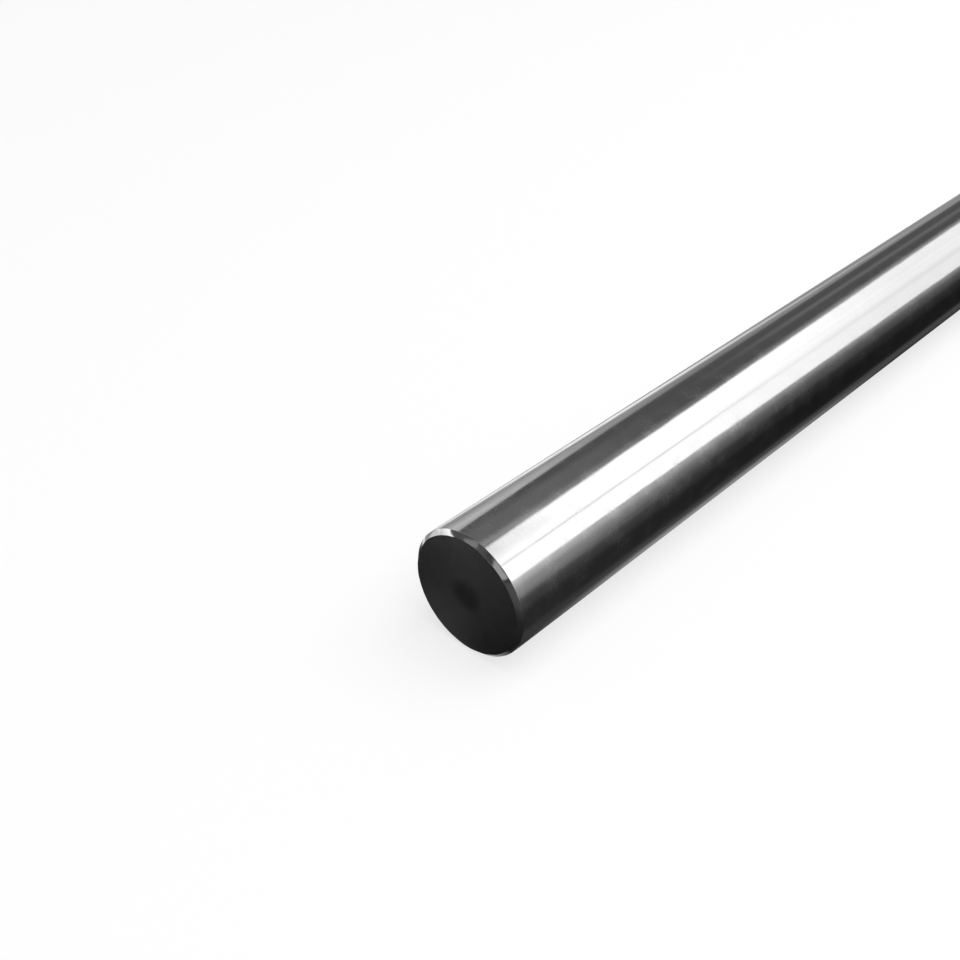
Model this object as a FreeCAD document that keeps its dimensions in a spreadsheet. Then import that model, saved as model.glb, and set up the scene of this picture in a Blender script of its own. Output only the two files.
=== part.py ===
# A length of round titanium bar, centreless ground to size and cut to length.
# It is one solid piece. Both ends are faced square to the axis and have a 45 degree chamfer.
#
# Units are millimetres. The bar lies on a level floor: its axis runs along X, the floor is
# the plane Z = 0, and the origin is the middle of the line on which the bar rests.

import FreeCAD, Part
import os

import Sketcher

doc = FreeCAD.newDocument("round_bar")


# Driving dimensions

# Cell, alias, value and what it is
DIMENSIONS = [
    ("bar_diameter", 30, "ground outside diameter"),
    ("bar_length", 1000, "overall length between the two faced ends"),
    ("end_chamfer", 1, "leg of the 45 degree chamfer at each end"),
]

sheet = doc.addObject("Spreadsheet::Sheet", "sizes")
for row, (alias, value, meaning) in enumerate(DIMENSIONS, start=1):
    sheet.set(f"A{row}", alias)
    sheet.set(f"B{row}", str(value))
    sheet.set(f"C{row}", meaning)
    sheet.setAlias(f"B{row}", alias)
doc.recompute()


def origin_plane(body, role):
    """The body's own origin plane with that role, such as YZ_Plane."""
    return next(f for f in body.Origin.OriginFeatures if f.Role == role)


def circular_edges(shape):
    """Names of the edges that are full circles: the rims of the two faced ends."""
    return [
        f"Edge{number}"
        for number, edge in enumerate(shape.Edges, start=1)
        if isinstance(edge.Curve, Part.Circle) and edge.isClosed()
    ]


def make_round_bar():
    """The bar: its round section, drawn out to length, with the rims of its ends chamfered."""
    body = doc.addObject("PartDesign::Body", "round_bar")
    body.Label = "round_bar"

    # The section stands on the sketch's horizontal axis, which is the floor, so a bar of any
    # diameter rests on Z = 0 with its centre above the origin.
    section = body.newObject("Sketcher::SketchObject", "section")
    section.AttachmentSupport = [(origin_plane(body, "YZ_Plane"), "")]
    section.MapMode = "FlatFace"
    radius = sheet.bar_diameter / 2
    outline = section.addGeometry(
        Part.Circle(FreeCAD.Vector(0, radius, 0), FreeCAD.Vector(0, 0, 1), radius)
    )
    floor_line, plumb_line, centre_point = -1, -2, 3
    section.addConstraint(Sketcher.Constraint("PointOnObject", outline, centre_point, plumb_line))
    section.addConstraint(Sketcher.Constraint("Tangent", outline, floor_line))
    diameter = section.addConstraint(Sketcher.Constraint("Diameter", outline, 2 * radius))
    section.setExpression(f"Constraints[{diameter}]", "sizes.bar_diameter")

    length_of_bar = body.newObject("PartDesign::Pad", "length_of_bar")
    length_of_bar.Profile = section
    length_of_bar.SideType = "Symmetric"
    length_of_bar.setExpression("Length", "sizes.bar_length")
    doc.recompute()

    end_chamfers = body.newObject("PartDesign::Chamfer", "end_chamfers")
    end_chamfers.Base = (length_of_bar, circular_edges(length_of_bar.Shape))
    end_chamfers.setExpression("Size", "sizes.end_chamfer")
    body.Tip = end_chamfers
    return body


def check(parts):
    """Stops the build if any object failed, or if a part isn't one sound solid."""
    failed = [o.Name for o in doc.Objects if {"Invalid", "Error"} & set(o.State)]
    if failed:
        raise RuntimeError(f"these objects failed: {failed}")
    for part in parts:
        shape = part.Shape
        if shape.isNull() or not shape.isValid() or len(shape.Solids) != 1:
            raise RuntimeError(f"{part.Label} isn't one valid solid")


parts = [make_round_bar()]
doc.recompute()
check(parts)

os.makedirs("parts", exist_ok=True)
for part in parts:
    part.Shape.exportStep(f"parts/{part.Label}.step")
    box = part.Shape.BoundBox
    print(
        f"{part.Label}: {box.XLength:.1f} x {box.YLength:.1f} x {box.ZLength:.1f} mm,"
        f" lowest at Z = {box.ZMin:.3f}, {part.Shape.Volume / 1000:.2f} cm3"
    )
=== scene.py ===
import math

import bpy
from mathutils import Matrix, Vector


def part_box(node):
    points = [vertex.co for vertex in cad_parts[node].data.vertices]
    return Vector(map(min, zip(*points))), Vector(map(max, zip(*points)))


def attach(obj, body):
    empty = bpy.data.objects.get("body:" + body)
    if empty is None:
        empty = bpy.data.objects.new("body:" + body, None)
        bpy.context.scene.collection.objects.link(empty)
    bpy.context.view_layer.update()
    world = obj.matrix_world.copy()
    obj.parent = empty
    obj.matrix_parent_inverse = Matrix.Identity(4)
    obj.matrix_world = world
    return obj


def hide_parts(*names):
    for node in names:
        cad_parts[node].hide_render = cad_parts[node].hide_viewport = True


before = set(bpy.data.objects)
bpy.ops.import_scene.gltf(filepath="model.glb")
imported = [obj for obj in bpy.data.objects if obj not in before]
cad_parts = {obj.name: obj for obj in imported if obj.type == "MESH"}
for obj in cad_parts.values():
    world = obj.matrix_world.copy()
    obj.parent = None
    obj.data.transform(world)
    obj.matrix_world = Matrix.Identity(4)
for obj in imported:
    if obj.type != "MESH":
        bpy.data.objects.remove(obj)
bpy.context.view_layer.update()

barNode = "round_bar"
barLow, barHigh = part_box(barNode)
barRadius = (barHigh.y - barLow.y) / 2
barEnd = barHigh.x
print("frame loaded: bar", round(2000 * barRadius, 1), "mm round,", round(2000 * barEnd), "mm long")


class Wire:
    # One socket of a node tree. Sums and products of wires add Math nodes.
    def __init__(self, tree, socket=None):
        self.tree = tree
        self.socket = socket

    def node(self, kind, settings=None, sockets=None, output=0):
        made = self.tree.nodes.new(kind)
        row, column = divmod(len(self.tree.nodes), 12)
        made.location = (220 * column, -260 * row)    # in rows, to be read in the editor
        for name, value in (settings or {}).items():
            if name == "stops":
                setStops(made.color_ramp, value)
            elif name == "choices":
                for _ in range(value - len(made.index_switch_items)):
                    made.index_switch_items.new()
            else:
                setattr(made, name, value)
        for name, value in (sockets or {}).items():
            if isinstance(value, Wire):
                self.tree.links.new(value.socket, made.inputs[name])
            else:
                made.inputs[name].default_value = value
        return Wire(self.tree, made.outputs[output]) if len(made.outputs) else None

    def other(self, output):
        # another output of the same node
        return Wire(self.tree, self.socket.node.outputs[output])

    def split(self):
        # a vector's x, y and z
        x = self.node("ShaderNodeSeparateXYZ", None, {"Vector": self})
        return x, x.other("Y"), x.other("Z")

    def math(self, operation, *others):
        # one Math node, with this wire first
        return self.node("ShaderNodeMath", {"operation": operation}, dict(enumerate((self, *others))))

    def __add__(self, value):
        return self.math("ADD", value)

    def __sub__(self, value):
        return self.math("SUBTRACT", value)

    def __rsub__(self, value):
        return self.node("ShaderNodeMath", {"operation": "SUBTRACT"}, {0: value, 1: self})

    def __mul__(self, value):
        return self.math("MULTIPLY", value)

    def __truediv__(self, value):
        return self.math("DIVIDE", value)

    def __rtruediv__(self, value):
        return self.node("ShaderNodeMath", {"operation": "DIVIDE"}, {0: value, 1: self})

    def __neg__(self):
        return self.math("MULTIPLY", -1)

    __radd__ = __add__
    __rmul__ = __mul__


def setStops(scale, stops):
    while len(scale.elements) > 1:
        scale.elements.remove(scale.elements[-1])
    for number, (place, level) in enumerate(stops):
        stop = scale.elements[0] if number == 0 else scale.elements.new(place)
        stop.position = place
        stop.color = (level, level, level, 1)


def ramp(value, low, high, start, end, way="LINEAR"):
    # a straight change from start to end as value goes from low to high
    sockets = {"Value": value, "From Min": low, "From Max": high, "To Min": start, "To Max": end}
    return value.node("ShaderNodeMapRange", {"interpolation_type": way}, sockets)


def rise(value, low, high, start=0.0, end=1.0):
    # the same as a soft step
    return ramp(value, low, high, start, end, "SMOOTHSTEP")


def band(value, low, high, softLow, softHigh):
    # 1 between low and high, with soft edges centred on them
    up = rise(value, low - softLow / 2, low + softLow / 2)
    return up * rise(value, high - softHigh / 2, high + softHigh / 2, 1.0, 0.0)


# The bar's shape. Each value of barShape and barMesh is a named input of the tree that turns it.

barShape = {
    "chamfer": 0.0010,          # leg of the 45 degree chamfer
    "edge break": 0.00009,      # rounding that polishing leaves on the machined corners
    "roll off length": 0.0035,  # stretch next to each chamfer that polishing wears down
    "roll off depth": 0.000055,
    "facing depth": 0.0000035,  # height of the rings that facing leaves
    "centre dimple": 0.00003,   # depth of the shallow dimple that facing leaves
    "dimple radius": 0.0026,
    "lobing": 0.000007,         # waviness that grinding leaves along the bar
    "chamfer waver": 0.00024,   # how unevenly the chamfer was cut: its edges stray by half of this
}
# steps round the bar, rings over each stretch of its profile, and steps in each rounded corner
barMesh = {"sides": 176, "side rings": 190, "face rings": 34, "worn rings": 10, "corner steps": 3}
weldDistance = 0.0000005    # closes the seam along the bar and the middle of each face
# how far a face of the mesh looks along the bar, at the least, to have each material
leastLean = {"side material": -1.0, "chamfer material": 0.3, "face material": 0.95}

# the noise behind the uneven places: how closely it varies round the bar, and where it is read
uneven = {
    "lobes": (2.6, 3.1),
    "lobes a metre": 9,
    # two for each edge of the chamfer, a wide one and a fine one, with the share of each
    "outer edge": [(2.4, 11.7, 1.4), (8.0, 31.7, 0.6)],
    "inner edge": [(2.0, 51.7, 1.4), (7.0, 71.7, 0.6)],
    # in chamfers from the end plane: where the inner edge's stray gives way to the outer one's, and
    # where the outer one's starts to fade along the side
    "gives way": (0.2, 0.8),
    "starts to fade": 1.1,
    "on the face": 3,           # how far in the inner edge's stray reaches, in chamfers
}


def addInputs(tree, values):
    # a named input of the fitting kind for each value, and its identifier by name
    kinds = {float: "NodeSocketFloat", int: "NodeSocketInt", bpy.types.Material: "NodeSocketMaterial"}
    names = {}
    for name, value in values.items():
        kind = kinds[type(value)]
        socket = tree.interface.new_socket(name=name.title(), in_out="INPUT", socket_type=kind)
        socket.default_value = value
        names[name] = socket.identifier
    return names


def barProfile(start, size):
    # half of a lengthwise cut, face centre to face centre: X along the bar, Z out from its axis
    half, radius, inner = size["half length"], size["radius"], size["inner"]
    rollLength = size["roll off length"]
    shoulder = half - size["chamfer"]
    worn = shoulder - rollLength
    corners = [(half, 0.0), (half, inner), (shoulder, radius), (worn, radius)]
    corners = [(-x, z) for x, z in corners] + corners[::-1]
    places = {}
    for number, (x, z) in enumerate(corners, 1):
        places[number] = start.node("ShaderNodeCombineXYZ", None, {"X": x, "Z": z})
    index = start.node("GeometryNodeInputIndex")
    line = start.node("GeometryNodeMeshLine", None, {"Count": len(corners)})
    chosen = start.node(
        "GeometryNodeIndexSwitch",
        {"data_type": "VECTOR", "choices": len(corners)},
        {"Index": index, **places},
    )
    line = start.node("GeometryNodeSetPosition", None, {"Geometry": line, "Position": chosen})
    profile = start.node("GeometryNodeMeshToCurve", None, {"Mesh": line})
    rounding = {"Count": size["corner steps"], "Radius": size["edge break"], "Limit Radius": True}
    profile = start.node("GeometryNodeFilletCurve", {"mode": "POLY"}, {"Curve": profile, **rounding})

    # rings: many along the side, fewer over the face and the worn stretch
    nearly = 0.8    # rounding the corners shortens each stretch a little
    place = start.node("GeometryNodeInputPosition")
    following = start.node(
        "GeometryNodeFieldAtIndex", {"data_type": "FLOAT_VECTOR"}, {"Index": index + 1, "Value": place}
    )
    step = start.node("ShaderNodeVectorMath", {"operation": "DISTANCE"}, {0: place, 1: following}, "Value")
    onSide = step.math("GREATER_THAN", half)
    onFace = step.math("GREATER_THAN", inner * nearly) * (1 - onSide)
    onWorn = step.math("GREATER_THAN", rollLength * nearly) * (1 - onSide) * (1 - onFace)
    cuts = onSide * size["side rings"] + onFace * size["face rings"] + onWorn * size["worn rings"]
    return start.node("GeometryNodeSubdivideCurve", None, {"Curve": profile, "Cuts": cuts})


def unevenPlace(start, size, onProfile, turn, row):
    # where a point of the profile comes to lie on the worn bar, turned round it by an angle
    half, inner, chamfer = size["half length"], size["inner"], size["chamfer"]
    rollLength, waver = size["roll off length"], size["chamfer waver"]
    along, _, out = onProfile.split()
    side = along.math("SIGN")
    fromEnd = half - along.math("ABSOLUTE")
    sine, cosine = turn.math("SINE"), turn.math("COSINE")
    hair = 0.0001   # a point right on the chamfer's inner edge counts neither as rim nor as face

    # noise read on a stretched copy of the surface, so that it meets round the bar
    def noise(x, scale, seed):
        around = {"X": x, "Y": cosine * scale + seed, "Z": sine * scale}
        around = start.node("ShaderNodeCombineXYZ", None, around)
        return start.node("ShaderNodeTexNoise", None, {"Vector": around, "Scale": 1.0, "Detail": 1.0})

    def stray(noises):
        wide, fine = [(noise(side, scale, seed) - 0.5) * share for scale, seed, share in noises]
        return wide + fine

    # grinding leaves long shallow lobes, and polishing wears the side down next to each chamfer
    lobes = noise(along * uneven["lobes a metre"], *uneven["lobes"]) * size["lobing"]
    wornShare = rise(fromEnd - chamfer, 0.0, rollLength, 1.0, 0.0)
    wear = wornShare * wornShare * size["roll off depth"]
    onRim = out.math("GREATER_THAN", inner * (1 + hair))
    radial = out - onRim * (lobes + wear)

    # the chamfer's outer edge strays along the bar and its inner edge in and out
    near, far = [chamfer * share for share in uneven["gives way"]]
    fade = chamfer * uneven["starts to fade"]
    outerEdge = rise(fromEnd, near, far) * rise(fromEnd, fade, chamfer + rollLength, 1.0, 0.0)
    onFace = rise(out, inner - chamfer * uneven["on the face"], inner)
    innerEdge = onFace * rise(fromEnd, near, far, 1.0, 0.0)
    fromEnd = fromEnd + outerEdge * stray(uneven["outer edge"]) * waver
    radial = radial + innerEdge * stray(uneven["inner edge"]) * waver

    # facing rings and the shallow dimple at the centre are cut inwards from the end plane
    onEnd = 1 - out.math("GREATER_THAN", inner * (1 - hair))
    dimple = rise(out, 0.0, size["dimple radius"], 1.0, 0.0) * size["centre dimple"]
    cut = onEnd * (row.math("MODULO", 2.0) * size["facing depth"] + dimple)
    x = side * (half - fromEnd - cut)
    y, z = -radial * cosine, size["radius"] + radial * sine
    return start.node("ShaderNodeCombineXYZ", None, {"X": x, "Y": y, "Z": z})


def turnedBarTree(values):
    # The half profile is swept round the axis on a grid of vertices, one row for each of its points.
    tree = bpy.data.node_groups.new("turned bar", "GeometryNodeTree")
    names = addInputs(tree, values)
    tree.interface.new_socket(name="Geometry", in_out="OUTPUT", socket_type="NodeSocketGeometry")
    start = Wire(tree)
    given = start.node("NodeGroupInput")
    size = {name: given.other(name.title()) for name in values}
    size["inner"] = size["radius"] - size["chamfer"]
    profile = barProfile(start, size)

    rings = start.node("GeometryNodeAttributeDomainSize", {"component": "CURVE"}, {"Geometry": profile})
    across = size["sides"] + 1
    grid = start.node("GeometryNodeMeshGrid", None, {"Vertices X": rings, "Vertices Y": across})
    index = start.node("GeometryNodeInputIndex")
    row = ((index + 0.5) / across).math("FLOOR")
    turn = (index - row * across) / size["sides"] * (2 * math.pi)
    place = start.node("GeometryNodeInputPosition")
    onProfile = start.node(
        "GeometryNodeSampleIndex",
        {"data_type": "FLOAT_VECTOR", "domain": "POINT"},
        {"Geometry": profile, "Value": place, "Index": row},
    )
    settled = unevenPlace(start, size, onProfile, turn, row)
    shaped = start.node("GeometryNodeSetPosition", None, {"Geometry": grid, "Position": settled})
    weld = {"Geometry": shaped, "Distance": weldDistance}
    shaped = start.node("GeometryNodeMergeByDistance", None, weld)
    shaped = start.node("GeometryNodeSetShadeSmooth", None, {"Geometry": shaped, "Shade Smooth": True})
    shaped = start.node("GeometryNodeRealizeInstances", None, {"Geometry": shaped})

    normal = start.node("GeometryNodeInputNormal")
    lean = normal.split()[0].math("ABSOLUTE")
    for name, least in leastLean.items():
        chosen = {"Selection": lean.math("GREATER_THAN", least), "Material": size[name]}
        shaped = start.node("GeometryNodeSetMaterial", None, {"Geometry": shaped, **chosen})
    start.node("NodeGroupOutput", None, {"Geometry": shaped})
    return tree, names


def makeBar(materials):
    values = {"half length": barEnd, "radius": barRadius, **barShape, **barMesh, **materials}
    tree, names = turnedBarTree(values)
    holder = bpy.data.objects.new("titaniumBar", bpy.data.meshes.new("titaniumBar"))
    bpy.context.scene.collection.objects.link(holder)
    turned = holder.modifiers.new("turned bar", "NODES")
    turned.node_group = tree
    for name, value in values.items():
        turned[names[name]] = value
    graph = bpy.context.evaluated_depsgraph_get()
    mesh = bpy.data.meshes.new_from_object(holder.evaluated_get(graph))
    holder.modifiers.clear()
    holder.data = mesh
    mesh.name = "titaniumBar"
    # Set Material leaves an empty first slot
    if mesh.materials and mesh.materials[0] is None:
        mesh.materials.pop(index=0)
    return holder


# The bar's finish

polish = {
    "grey": 0.62,          # how much of the light polished titanium sends back
    "roughness": 0.085,
    "roughness drift": 0.02,
    # relief, each: length along the bar, width round it, height, in metres
    "relief": {
        "grain": (0.0009, 0.0030, 0.0000060),
        "streaks": (0.018, 0.0009, 0.0000030),
        "mottle": (0.0050, 0.0022, 0.0000090),
        "waves": (0.0140, 0.0050, 0.0000180),
    },
    "tone": (0.0090, 0.0040, 0.06),   # patches that send back more or less light: length, width, share
    "tone near ends": 2.4,            # how much stronger those are near the ends
    "tone reach": (0.03, 0.12),       # and between which distances from an end that fades
}
# Polishing leaves fine scratches round the bar, in patches, which spread some of the light wide.
scuff = {
    "roughness": 0.28,
    "scratches": (0.0006, 0.0014),    # length along the bar, width round it
    "scratch levels": (0.2, 0.8),     # of the noise, from no scratch to a deep one
    "between them": 0.45,             # how much of a patch's share there is between scratches
    "on them": 1.1,                   # and how much more on a deep one
    "patches": (0.0054, 0.0038),
    "patch levels": (0.42, 0.70),
    "thickest": 0.46,      # share of the light that is spread, where the scratches lie thickest
    "further in": 0.4,     # how much of that is left away from the ends
    "reach": (0.04, 0.13),  # between these distances from an end
    "on top": 0.62,        # and along the top, which nothing rubs
    "top": (1.65, 1.93),   # from the one height to the other, in radii above the floor
    "end share": 0.10,     # added at the ends, where the bar was held and cut
    "end reach": 0.05,
}
# one short nick round the bar, on its front
nick = {"x": (-0.4044, -0.4038), "z": (0.0209, 0.0224), "soft": (0.0004, 0.0004), "share": 0.35}


def newMaterial(name):
    # the material, a wire to start its nodes from, and the place on the object that is shaded
    material = bpy.data.materials.new(name)
    material.use_nodes = True
    material.node_tree.nodes.clear()
    start = Wire(material.node_tree)
    return material, start, start.node("ShaderNodeTexCoord", None, None, "Object")


def finishMaterial(start, shader):
    start.node("ShaderNodeOutputMaterial", None, {"Surface": shader})


def grain(start, place, along, around, detail):
    # noise drawn out along the bar: features are about along by around metres
    stretched = start.node(
        "ShaderNodeMapping",
        {"vector_type": "POINT"},
        {"Vector": place, "Scale": (1 / along, 1 / around, 1 / around)},
    )
    return start.node("ShaderNodeTexNoise", None, {"Vector": stretched, "Scale": 1.0, "Detail": detail})


def bump(start, height):
    # relief whose height is in metres
    return start.node("ShaderNodeBump", None, {"Height": height, "Distance": 1.0, "Strength": 1.0})


def grey(start, level):
    return start.node("ShaderNodeCombineColor", None, {"Red": level, "Green": level, "Blue": level})


def titanium(start, colour, roughness, normal):
    sockets = {"Base Color": colour, "Metallic": 1.0, "Roughness": roughness, "Normal": normal}
    return start.node("ShaderNodeBsdfPrincipled", None, sockets)


def scuffShare(start, place, fromEnd):
    # how much of the light the scratches and the nick spread
    x, y, z = place.split()
    wear = rise(fromEnd, *scuff["reach"], 1.0, scuff["further in"])
    low, high = [share * barRadius for share in scuff["top"]]
    wear = wear * rise(z, low, high, 1.0, scuff["on top"])
    patches = grain(start, place, *scuff["patches"], 1.0)
    share = rise(patches, *scuff["patch levels"]) * wear * scuff["thickest"]
    share = share + rise(fromEnd, 0.0, scuff["end reach"], scuff["end share"], 0.0)
    scratches = grain(start, place, *scuff["scratches"], 2.0)
    deep = rise(scratches, *scuff["scratch levels"])
    share = share * (scuff["between them"] + scuff["on them"] * deep)
    nicked = band(x, *nick["x"], *nick["soft"]) * band(z, *nick["z"], *nick["soft"])
    return share + nicked * y.math("LESS_THAN", 0.0) * nick["share"]


def polishedSide():
    material, start, place = newMaterial("polishedTitanium")
    height = 0.0
    for name, (length, width, tall) in polish["relief"].items():
        relief = grain(start, place, length, width, 1.0)
        height = relief * tall + height
        if name == "streaks":
            rough = polish["roughness"] + (relief - 0.5) * (2 * polish["roughness drift"])
    normal = bump(start, height)
    fromEnd = barEnd - place.split()[0].math("ABSOLUTE")
    length, width, share = polish["tone"]
    strength = rise(fromEnd, *polish["tone reach"], share * polish["tone near ends"], share)
    level = ((grain(start, place, length, width, 2.0) - 0.5) * strength + 1) * polish["grey"]
    colour = grey(start, level)
    polished = titanium(start, colour, rough, normal)
    scuffed = titanium(start, colour, scuff["roughness"], normal)
    shaders = {0: scuffShare(start, place, fromEnd), 1: polished, 2: scuffed}
    finishMaterial(start, start.node("ShaderNodeMixShader", None, shaders))
    return material


facing = {
    # below the polished side's grey: painted shade that makes the face darker than its metal
    "grey": 0.435,
    "roughness": 0.36,
    "pitch": 0.00016,   # feed of the facing tool, metres out from the centre
    "slope": 0.22,      # how steep the tool marks are
    "centre": (0.00175, 0.00525),   # radii over which the darker middle fades out, painted shade for the dull centre of the face's fan of sheen
    "centre painted shade": 0.20,
    # slow drift over the face: length and width of a patch, and what it does to the marks, in
    # radians, to the grey and to the roughness
    "drift": (0.01, 0.004),
    "marks drift": 6,
    "grey drift": 0.06,
    "roughness drift": 0.1,
}


def facedEnd():
    material, start, place = newMaterial("facedTitanium")
    _, y, z = place.split()
    high = z - barRadius
    out = (y * y + high * high).math("SQRT")
    drift = grain(start, place, *facing["drift"], 3.0)
    marks = out * (2 * math.pi / facing["pitch"]) + drift * facing["marks drift"]
    height = marks.math("SINE") * (facing["slope"] * facing["pitch"] / (2 * math.pi))
    level = facing["grey"] + (drift - 0.5) * facing["grey drift"]
    # painted shade: the middle of the face is made darker, standing in for the dark centre of its
    # fan-shaped sheen
    level = level - rise(out, *facing["centre"], facing["centre painted shade"], 0.0)
    rough = facing["roughness"] + (drift - 0.5) * facing["roughness drift"]
    finishMaterial(start, titanium(start, grey(start, level), rough, bump(start, height)))
    return material


chamferCut = {
    "grey": 0.60,
    "roughness": 0.08,
    "chatter": 0.0000015,       # height and size of the marks that the cutter's chatter leaves
    "chatter size": 0.0006,
    "grey drift": 0.05,
    "roughness drift": 0.1,
}


def turnedChamfer():
    material, start, place = newMaterial("turnedTitanium")
    size = chamferCut["chatter size"]
    chatter = grain(start, place, size, size, 2.0)
    normal = bump(start, chatter * chamferCut["chatter"])
    rough = chamferCut["roughness"] + (chatter - 0.5) * chamferCut["roughness drift"]
    level = chamferCut["grey"] + (chatter - 0.5) * chamferCut["grey drift"]
    finishMaterial(start, titanium(start, grey(start, level), rough, normal))
    return material


barMaterials = {
    "side material": polishedSide(),
    "chamfer material": turnedChamfer(),
    "face material": facedEnd(),
}
bar = makeBar(barMaterials)
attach(bar, "root")
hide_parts(barNode)
print("bar turned:", len(bar.data.polygons), "faces,", [material.name for material in bar.data.materials])


# The studio: a light tent round the bar, whose panels only the metal sees, a pale floor and a lamp

tent = {
    "radius": 1.0,
    "left": -2.2,
    "right": 5.0,
    "arc": (-3, 183),   # degrees round the bar, from the front over the top to the back
    "steps": 60,
    "foot": -0.05,      # how deep its two end walls go
    "fabric": 0.06,     # brightness of the bare grey fabric
}
# Each panel: its angle round the bar from the front, over the top, to the back, in degrees, where
# the tent's middle is; the slant of its two edges, degrees for each metre along, if it has one; its
# reach along the bar in metres; its soft edges; the light it adds to the fabric, or takes away where
# that is negative; and, if it dims along the bar, from where to where and to what share of that.
tentPanels = {
    "upper softbox": {
        "angle": (58, 93.8), "soft": (1.0, 6), "slant": (0, 8.6),
        "along": (-1.2, 6), "fade": (0.6, 1), "light": 1.18, "dims": (0.75, 1.25, 0.84),
    },
    "upper softbox, low part": {
        "angle": (58, 72), "soft": (1.0, 20),
        "along": (-1.2, 6), "fade": (0.6, 1), "light": 0.45, "dims": (0.75, 1.25, 0.8),
    },
    "upper softbox, high part": {
        "angle": (72, 93.8), "soft": (20, 6), "slant": (0, 8.6),
        "along": (0.26, 6), "fade": (0.25, 1), "light": 0.34, "dims": (0.75, 1.25, 0.6),
    },
    "upper softbox glow": {
        "angle": (78, 102), "soft": (12, 14), "slant": (0, 7),
        "along": (0.28, 6), "fade": (0.2, 1), "light": 0.17, "dims": (0.7, 1.0, 2.1),
    },
    "upper softbox glow, near part": {
        "angle": (92, 105.5), "soft": (6, 14),
        "along": (-1.2, 0.3), "fade": (0.6, 0.08), "light": 0.20,
    },
    "upper softbox, near shade": {
        "angle": (91, 98), "soft": (4, 4),
        "along": (-1.2, 0.27), "fade": (0.6, 0.1), "light": -0.18,
    },
    "upper softbox, far shade": {
        "angle": (80, 93.8), "soft": (8, 6), "slant": (0, 8.6),
        "along": (0.9, 6), "fade": (0.4, 1), "light": -0.29,
    },
    "lower softbox": {
        "angle": (30.15, 58), "soft": (3.5, 1.0), "slant": (-6.6, 0),
        "along": (-1.2, 6), "fade": (0.6, 1), "light": 1.66, "dims": (0.4, 1.25, 0.74),
    },
    "softbox seam": {
        "angle": (55.7, 58.9), "soft": (2.2, 2.2),
        "along": (-1.2, 0.7), "fade": (0.6, 0.3), "light": -0.66, "dims": (0.38, 0.65, 0.68),
    },
    "softbox seam, far part": {
        "angle": (57.5, 64.5), "soft": (5, 6), "slant": (-6, 0),
        "along": (0.62, 6), "fade": (0.3, 1), "light": -0.14, "dims": (0.8, 1.3, 0.7),
    },
    "lower softbox, edge shade": {
        "angle": (25.8, 28), "soft": (1.6, 1.6),
        "along": (0.38, 0.7), "fade": (0.2, 0.14), "light": -0.36,
    },
    "lower softbox, near edge": {
        "angle": (26, 28.8), "soft": (3, 2),
        "along": (-1.2, 0.27), "fade": (0.6, 0.14), "light": 0.14,
    },
    "front glow": {
        "angle": (7, 30.15), "soft": (34, 3.5), "slant": (0, -6.6),
        "along": (-1.2, 6), "fade": (0.6, 1), "light": 0.46, "dims": (0.13, 0.8, 0.32),
    },
    "front edge glow": {
        "angle": (21, 30.15), "soft": (16, 3.5), "slant": (-4, -6.6),
        "along": (-1.2, 6), "fade": (0.6, 1), "light": 0.24, "dims": (0.2, 1.2, 1),
    },
    "front shelf": {
        "angle": (-9, 8.5), "soft": (2, 10),
        "along": (-1.2, 0.34), "fade": (0.6, 0.2), "light": 0.085,
    },
    "roof": {
        "angle": (92, 250), "soft": (20, 4),
        "along": (-3, 6), "fade": (1, 1), "light": 0.048,
    },
    "roof wash": {
        "angle": (99, 139.5), "soft": (10, 22),
        "along": (-1.0, 0.48), "fade": (0.3, 0.36), "light": 0.075,
    },
    "back panel": {
        "angle": (163, 200), "soft": (12, 4), "slant": (4, 0),
        "along": (-0.7, 6), "fade": (0.2, 0.7), "light": 0.175, "dims": (0.75, 0.95, 1.4),
    },
    "back panel, near part": {
        "angle": (148, 200), "soft": (5, 4), "slant": (30, 0),
        "along": (-0.7, 0.5), "fade": (0.2, 0.5), "light": 0.22,
    },
    "back panel, middle": {
        "angle": (144.5, 169), "soft": (4, 14), "slant": (45, 0),
        "along": (-0.7, 0.36), "fade": (0.2, 0.25), "light": 0.30,
    },
    "left back panel": {
        "angle": (159.8, 174), "soft": (1.5, 26),
        "along": (-1.2, -0.55), "fade": (0.1, 0.3), "light": 1.5,
    },
    "left back panel, foot": {
        "angle": (176, 200), "soft": (8, 4),
        "along": (-1.2, -0.5), "fade": (0.1, 0.2), "light": 0.55,
    },
    "left front glow": {
        "angle": (-20, 25), "soft": (10, 8),
        "along": (-2.3, -1.35), "fade": (0.2, 0.3), "light": 0.045,
    },
    "left lower softbox": {
        "angle": (35, 79), "soft": (5, 14),
        "along": (-2.3, -1.6), "fade": (0.2, 0.3), "light": 0.42,
    },
    "left roof panel": {
        "angle": (111.5, 137), "soft": (5, 5),
        "along": (-1.65, -1.22), "fade": (0.15, 0.15), "light": 0.19,
    },
    "far roof light": {
        "angle": (133.5, 143.5), "soft": (9, 8),
        "along": (0.8, 6), "fade": (0.4, 1), "light": 0.085,
    },
}


def onlyForMetal(thing):
    # seen in reflections and nowhere else, and it shades nothing
    thing.visible_camera = False
    thing.visible_diffuse = False
    thing.visible_shadow = False
    thing.visible_volume_scatter = False


def addMesh(name, points, faces, material):
    mesh = bpy.data.meshes.new(name)
    mesh.from_pydata(points, [], faces)
    mesh.materials.append(material)
    made = bpy.data.objects.new(name, mesh)
    bpy.context.scene.collection.objects.link(made)
    return made


def finishGlowing(start, level):
    # a surface that shows this level of grey in any light
    glow = start.node("ShaderNodeEmission", None, {"Color": grey(start, level), "Strength": 1.0})
    finishMaterial(start, glow)


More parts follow.
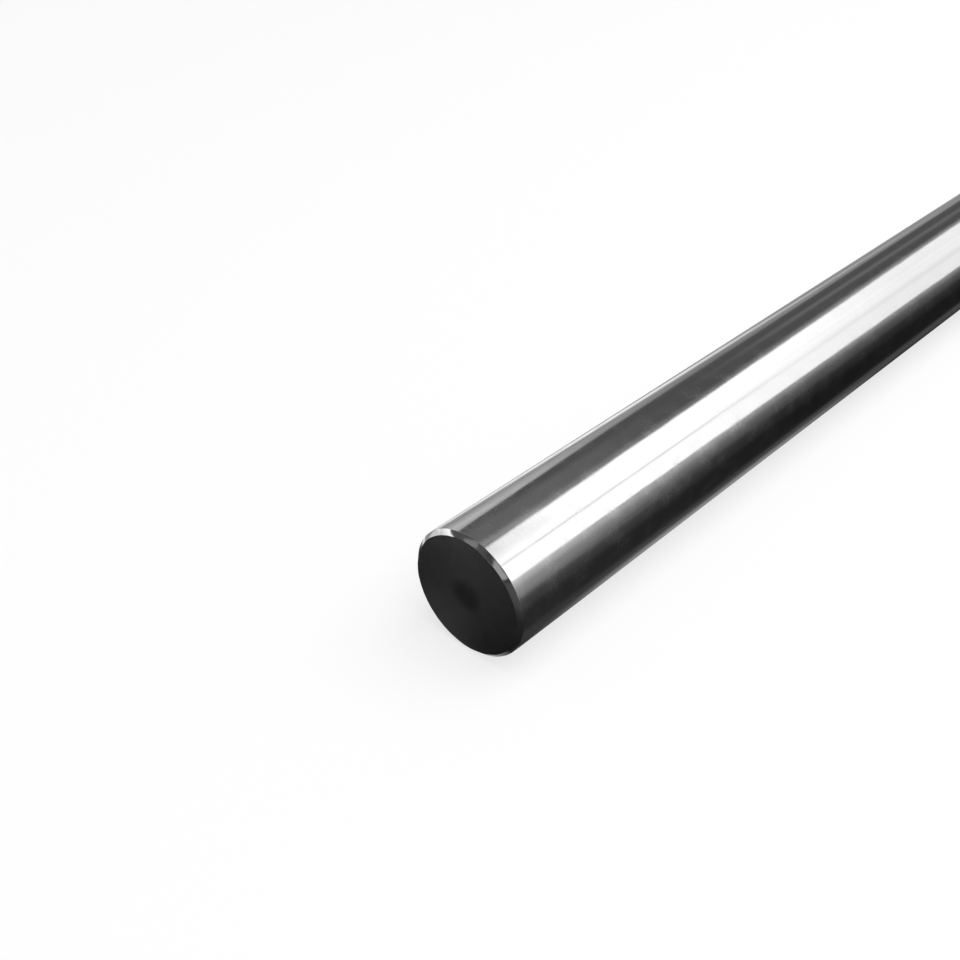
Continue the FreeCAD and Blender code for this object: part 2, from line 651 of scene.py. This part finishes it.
def tentFabric():
    material, start, place = newMaterial("tentFabric")
    x, y, z = place.split()
    angle = (z - barRadius).math("ARCTAN2", -y) * (180 / math.pi)
    angle = angle + 360 * angle.math("LESS_THAN", -90.0)
    level = tent["fabric"]
    for panel in tentPanels.values():
        (low, high), (softLow, softHigh) = panel["angle"], panel["soft"]
        slantLow, slantHigh = panel.get("slant", (0, 0))
        begins, ends, left = panel.get("dims", (0, 1, 1))
        shape = rise(angle - x * slantLow, low - softLow / 2, low + softLow / 2)
        shape = shape * rise(angle - x * slantHigh, high - softHigh / 2, high + softHigh / 2, 1.0, 0.0)
        shape = shape * band(x, *panel["along"], *panel["fade"])
        level = shape * ramp(x, begins, ends, panel["light"], panel["light"] * left) + level
    finishGlowing(start, level)
    return material


def raiseTent():
    left, right, steps = tent["left"], tent["right"], tent["steps"]
    first, last = tent["arc"]
    points = []
    for number in range(steps + 1):
        turn = math.radians(first + (last - first) * number / steps)
        y = -tent["radius"] * math.cos(turn)
        z = barRadius + tent["radius"] * math.sin(turn)
        points += [(left, y, z), (right, y, z)]
    foot = len(points)
    points += [(left, 0, tent["foot"]), (right, 0, tent["foot"])]
    pairs = range(0, 2 * steps, 2)
    faces = [(pair, pair + 2, pair + 3, pair + 1) for pair in pairs]
    faces += [(pair + side, pair + 2 + side, foot + side) for side in (0, 1) for pair in pairs]
    onlyForMetal(addMesh("lightTent", points, faces, tentFabric()))


# Two glowing sheets lie on the floor, seen only in the metal: a dark one in front of the bar and off its
# near end, and a grey one behind.
# Their levels are painted reflections: the dark, the patches and lines of light and the shade on them are
# painted light and shade for the bar to mirror.
# Places on them are in metres, and four numbers are a soft step's two places and two levels.
reflectionSheets = {
    "height": 0.00002,
    "front": -1.05,
    "seam": 0.002,          # where they meet, behind the bar's axis
    "off end seam": 0.08,   # and where they meet off its near end
    "back": 1.05,
}
darkReflectionSheet = {
    # brightness by distance in front of the bar's axis
    "brightness": [
        (0.0, 0.011), (0.0105, 0.011), (0.0135, 0.017), (0.0175, 0.040), (0.0225, 0.018),
        (0.035, 0.017), (0.05, 0.019), (0.065, 0.032), (0.10, 0.040), (0.17, 0.051),
        (0.25, 0.068), (0.5, 0.100), (1.0, 0.13),
    ],
    "near": 1.7,     # how much brighter than that it is by the bar's near end, and further along
    "far": 0.85,
    "change": 0.11,  # over how long a stretch that changes
    "lag": 0.9,      # and how much further along it does for each metre away from the bar
    # the light that leaks in under the bar, by the same distance, and how it dims along the bar
    "beneath": [
        (0.0, 0.72), (0.003, 0.62), (0.004, 0.52), (0.005, 0.40), (0.006, 0.35), (0.0075, 0.30),
        (0.0088, 0.08), (0.0095, 0.02), (0.0102, 0.0),
    ],
    "beneath along": (-0.495, -0.47, 1.0, 0.25),
    # a patch of light under the bar's edge
    "patch": (-0.472, -0.366),
    "patch fade": (0.05, 0.09),
    "patch away": (0.0118, 0.0172, 1.0, 0.0),
    "patch light": 0.28,
    # a line of light along the whole edge, and how much more from the patch on
    "edge": (0.012, 0.0195),
    "edge soft": (0.004, 0.003),
    "edge starts": (-0.485, -0.44),
    "edge grows": (-0.42, -0.37),
    "edge growth": 0.7,
    "edge light": 0.03,
    # off the near end, by the same distance
    "off end": [
        (0.0, 0.010), (0.011, 0.009), (0.0135, 0.012), (0.018, 0.020), (0.032, 0.029),
        (0.039, 0.042), (0.051, 0.053), (0.073, 0.085), (0.144, 0.098), (1.0, 0.10),
    ],
    "off end soft": 0.0006,
    # and what is added there behind the axis and at the foot of the end
    "behind starts": (-0.006, 0.010),
    "behind fades": (0.014, 0.03, 1.0, 0.2),
    "behind": 0.019,
    "foot starts": (-0.002, 0.012),
    "foot along": (-0.511, -0.504),
    "foot": 0.026,
}
greyReflectionSheet = {
    "near bar": 0.33,
    "beyond": 0.36,
    "off end": 0.92,
    "off end soft": (0.015, 0.005),   # how far that fades on either side of the bar's end
    # the wedge of light on it lies between these lines, each y = first + second * x
    "near line": (0.24, 0.5), "near soft": 0.055,
    "bar line": (0.116, 0.143), "bar soft": 0.012,
    "far line": (0.324, 0.55), "far soft": 0.05,
    "light": 0.79,
    "light dims": (0.1, 0.2),         # between these distances behind the axis
    "light left": 0.45,
    # a shade by the foot of the near end, up to these places along and behind
    "shade": 0.2, "shade reach": (-0.478, 0.051), "shade soft": (0.008, 0.006),
    # and a small painted glint beside it, for the chamfer to mirror
    "glint": 0.35, "glint x": (-0.498, -0.486), "glint y": (0.053, 0.066), "glint soft": (0.003, 0.005),
}


# painted reflection: a glowing dark sheet whose levels are the dark surroundings and the lines and patches
# of light that the bar mirrors
def paintDarkReflection():
    material, start, place = newMaterial("darkReflectionSheet")
    x, y, _ = place.split()
    away = -y

    def byDistance(stops):
        return start.node("ShaderNodeValToRGB", {"stops": stops}, {"Fac": away})

    change = (-barEnd, -barEnd + darkReflectionSheet["change"], darkReflectionSheet["near"], darkReflectionSheet["far"])
    level = byDistance(darkReflectionSheet["brightness"]) * ramp(x - away * darkReflectionSheet["lag"], *change)
    patch = band(x, *darkReflectionSheet["patch"], *darkReflectionSheet["patch fade"])
    patch = patch * rise(away, *darkReflectionSheet["patch away"])
    grows = darkReflectionSheet["edge growth"] * rise(x, *darkReflectionSheet["edge grows"])
    edge = band(away, *darkReflectionSheet["edge"], *darkReflectionSheet["edge soft"])
    edge = edge * (rise(x, *darkReflectionSheet["edge starts"]) + grows)
    level = level + edge * darkReflectionSheet["edge light"] + patch * darkReflectionSheet["patch light"]
    level = level + byDistance(darkReflectionSheet["beneath"]) * rise(x, *darkReflectionSheet["beneath along"])

    behind = rise(y, *darkReflectionSheet["behind starts"]) * rise(y, *darkReflectionSheet["behind fades"])
    foot = rise(y, *darkReflectionSheet["foot starts"]) * rise(x, *darkReflectionSheet["foot along"])
    offEnd = byDistance(darkReflectionSheet["off end"]) + behind * darkReflectionSheet["behind"] + foot * darkReflectionSheet["foot"]
    soft = darkReflectionSheet["off end soft"]
    level = level + rise(x, -barEnd - soft, -barEnd + soft, 1.0, 0.0) * (offEnd - level)
    finishGlowing(start, level)
    return material


def paintGreyReflection():
    # painted reflection on a glowing grey sheet: a wedge of light that opens away from the near end
    material, start, place = newMaterial("greyReflectionSheet")
    x, y, _ = place.split()

    def beyond(name):
        # 1 behind the line, 0 before it
        (first, second), soft = greyReflectionSheet[name + " line"], greyReflectionSheet[name + " soft"]
        return rise(y - x * second, first - soft / 2, first + soft / 2)

    inside = beyond("near") * beyond("bar")
    level = greyReflectionSheet["near bar"] + inside * (greyReflectionSheet["beyond"] - greyReflectionSheet["near bar"])
    inside = inside * (1 - beyond("far"))
    light = greyReflectionSheet["light"]
    level = level + inside * ramp(y, *greyReflectionSheet["light dims"], light, light * greyReflectionSheet["light left"])
    off, past = greyReflectionSheet["off end soft"]
    offEnd = rise(x, -barEnd - off, -barEnd + past, 1.0, 0.0)
    level = level + offEnd * (greyReflectionSheet["off end"] - greyReflectionSheet["beyond"])
    (right, back), (softRight, softBack) = greyReflectionSheet["shade reach"], greyReflectionSheet["shade soft"]
    shade = rise(x, right - softRight / 2, right + softRight / 2, 1.0, 0.0)
    shade = shade * rise(y, back - softBack / 2, back + softBack / 2, 1.0, 0.0)
    level = level * (1 - shade * (1 - greyReflectionSheet["shade"]))
    softX, softY = greyReflectionSheet["glint soft"]
    glint = band(x, *greyReflectionSheet["glint x"], softX, softX) * band(y, *greyReflectionSheet["glint y"], softY, softY)
    finishGlowing(start, level + glint * greyReflectionSheet["glint"])
    return material


def layReflectionSheet(name, outline, faces, material):
    points = [(x, y, reflectionSheets["height"]) for x, y in outline]
    onlyForMetal(addMesh(name, points, faces, material))


# the two sheets glow with painted reflections and are seen only in the metal
def layReflectionSheets():
    left, right, end = tent["left"], tent["right"], -barEnd
    front, seam, offEnd, back = reflectionSheets["front"], reflectionSheets["seam"], reflectionSheets["off end seam"], reflectionSheets["back"]
    black = [(left, front), (right, front), (right, seam), (end, seam), (end, offEnd), (left, offEnd)]
    layReflectionSheet("darkReflectionSheet", black, [(0, 1, 2, 3), (0, 3, 4, 5)], paintDarkReflection())
    behind = [(end, seam), (right, seam), (right, back), (end, back)]
    behind += [(left, back), (left, offEnd), (end, offEnd)]
    layReflectionSheet("greyReflectionSheet", behind, [(0, 1, 2, 3), (3, 4, 5, 6)], paintGreyReflection())


def seenDirectly(start):
    # 1 for what the eye and metal see, 0 for the light that falls on things
    path = start.node("ShaderNodeLightPath")
    seen = path.other("Is Camera Ray").math("MAXIMUM", path.other("Is Glossy Ray"))
    return seen.math("MAXIMUM", path.other("Is Transmission Ray"))


floorLook = {
    "reach": 30,
    "grey": 0.86,
    "glow": 0.72,                 # share of pure white it shows by the bar, where it keeps shadows
    "plain white": (0.75, 2.4),   # between these distances it turns all white
}


def layFloor():
    material, start, place = newMaterial("paleFloor")
    distance = start.node("ShaderNodeVectorMath", {"operation": "LENGTH"}, {0: place}, "Value")
    level = floorLook["grey"]
    plain = start.node("ShaderNodeBsdfDiffuse", None, {"Color": (level, level, level, 1)})
    white = start.node("ShaderNodeEmission", None, {"Color": (1, 1, 1, 1), "Strength": 1.0})
    share = seenDirectly(start) * rise(distance, *floorLook["plain white"], floorLook["glow"], 1.0)
    finishMaterial(start, start.node("ShaderNodeMixShader", None, {0: share, 1: plain, 2: white}))
    size = floorLook["reach"]
    points = [(-size, -size, 0), (size, -size, 0), (size, size, 0), (-size, size, 0)]
    floor = addMesh("paleFloor", points, [(0, 1, 2, 3)], material)


lamp = {"place": (0.0, -0.5, 1.5), "width": 2.2, "depth": 1.4, "power": 30}
skyLight = 0.42    # the room's brightness as light on things, while the eye sees it all white


def lightRoom():
    light = bpy.data.lights.new("overheadLamp", "AREA")
    light.shape = "RECTANGLE"
    light.size, light.size_y = lamp["width"], lamp["depth"]
    light.energy = lamp["power"]
    made = bpy.data.objects.new("overheadLamp", light)
    made.location = lamp["place"]
    towards = Vector((0, 0, 0)) - Vector(lamp["place"])
    made.rotation_euler = towards.to_track_quat("-Z", "Y").to_euler()
    made.visible_glossy = False
    bpy.context.scene.collection.objects.link(made)

    world = bpy.data.worlds.new("paleRoom")
    bpy.context.scene.world = world
    world.use_nodes = True
    world.node_tree.nodes.clear()
    start = Wire(world.node_tree)
    strength = skyLight + seenDirectly(start) * (1 - skyLight)
    glow = start.node("ShaderNodeBackground", None, {"Color": (1, 1, 1, 1), "Strength": strength})
    start.node("ShaderNodeOutputWorld", None, {"Surface": glow})


raiseTent()
layReflectionSheets()
layFloor()
lightRoom()
print("studio built")


# The camera stands where the photograph was taken, level, looking down along the bar
eye = {
    "place": (-0.637052, -0.131252, 0.179123),
    "heading": 42.88,   # degrees to the left of the bar's direction, seen from above
    "down": 35.42,
    "lens": 45.607,
    "sensor": 36,
    "sees": (0.01, 60),   # the nearest and furthest that it shows
}


def placeCamera():
    lens = bpy.data.cameras.new("camera")
    lens.sensor_width = eye["sensor"]
    lens.lens = eye["lens"]
    lens.clip_start, lens.clip_end = eye["sees"]
    made = bpy.data.objects.new("camera", lens)
    turn, tip = math.radians(eye["heading"]), math.radians(eye["down"])
    ahead = Vector((math.cos(turn) * math.cos(tip), math.sin(turn) * math.cos(tip), -math.sin(tip)))
    made.location = eye["place"]
    made.rotation_mode = "QUATERNION"
    made.rotation_quaternion = ahead.to_track_quat("-Z", "Y")
    bpy.context.scene.collection.objects.link(made)
    bpy.context.scene.camera = made


placeCamera()
bpy.context.scene.view_settings.view_transform = "Standard"
print("camera placed")
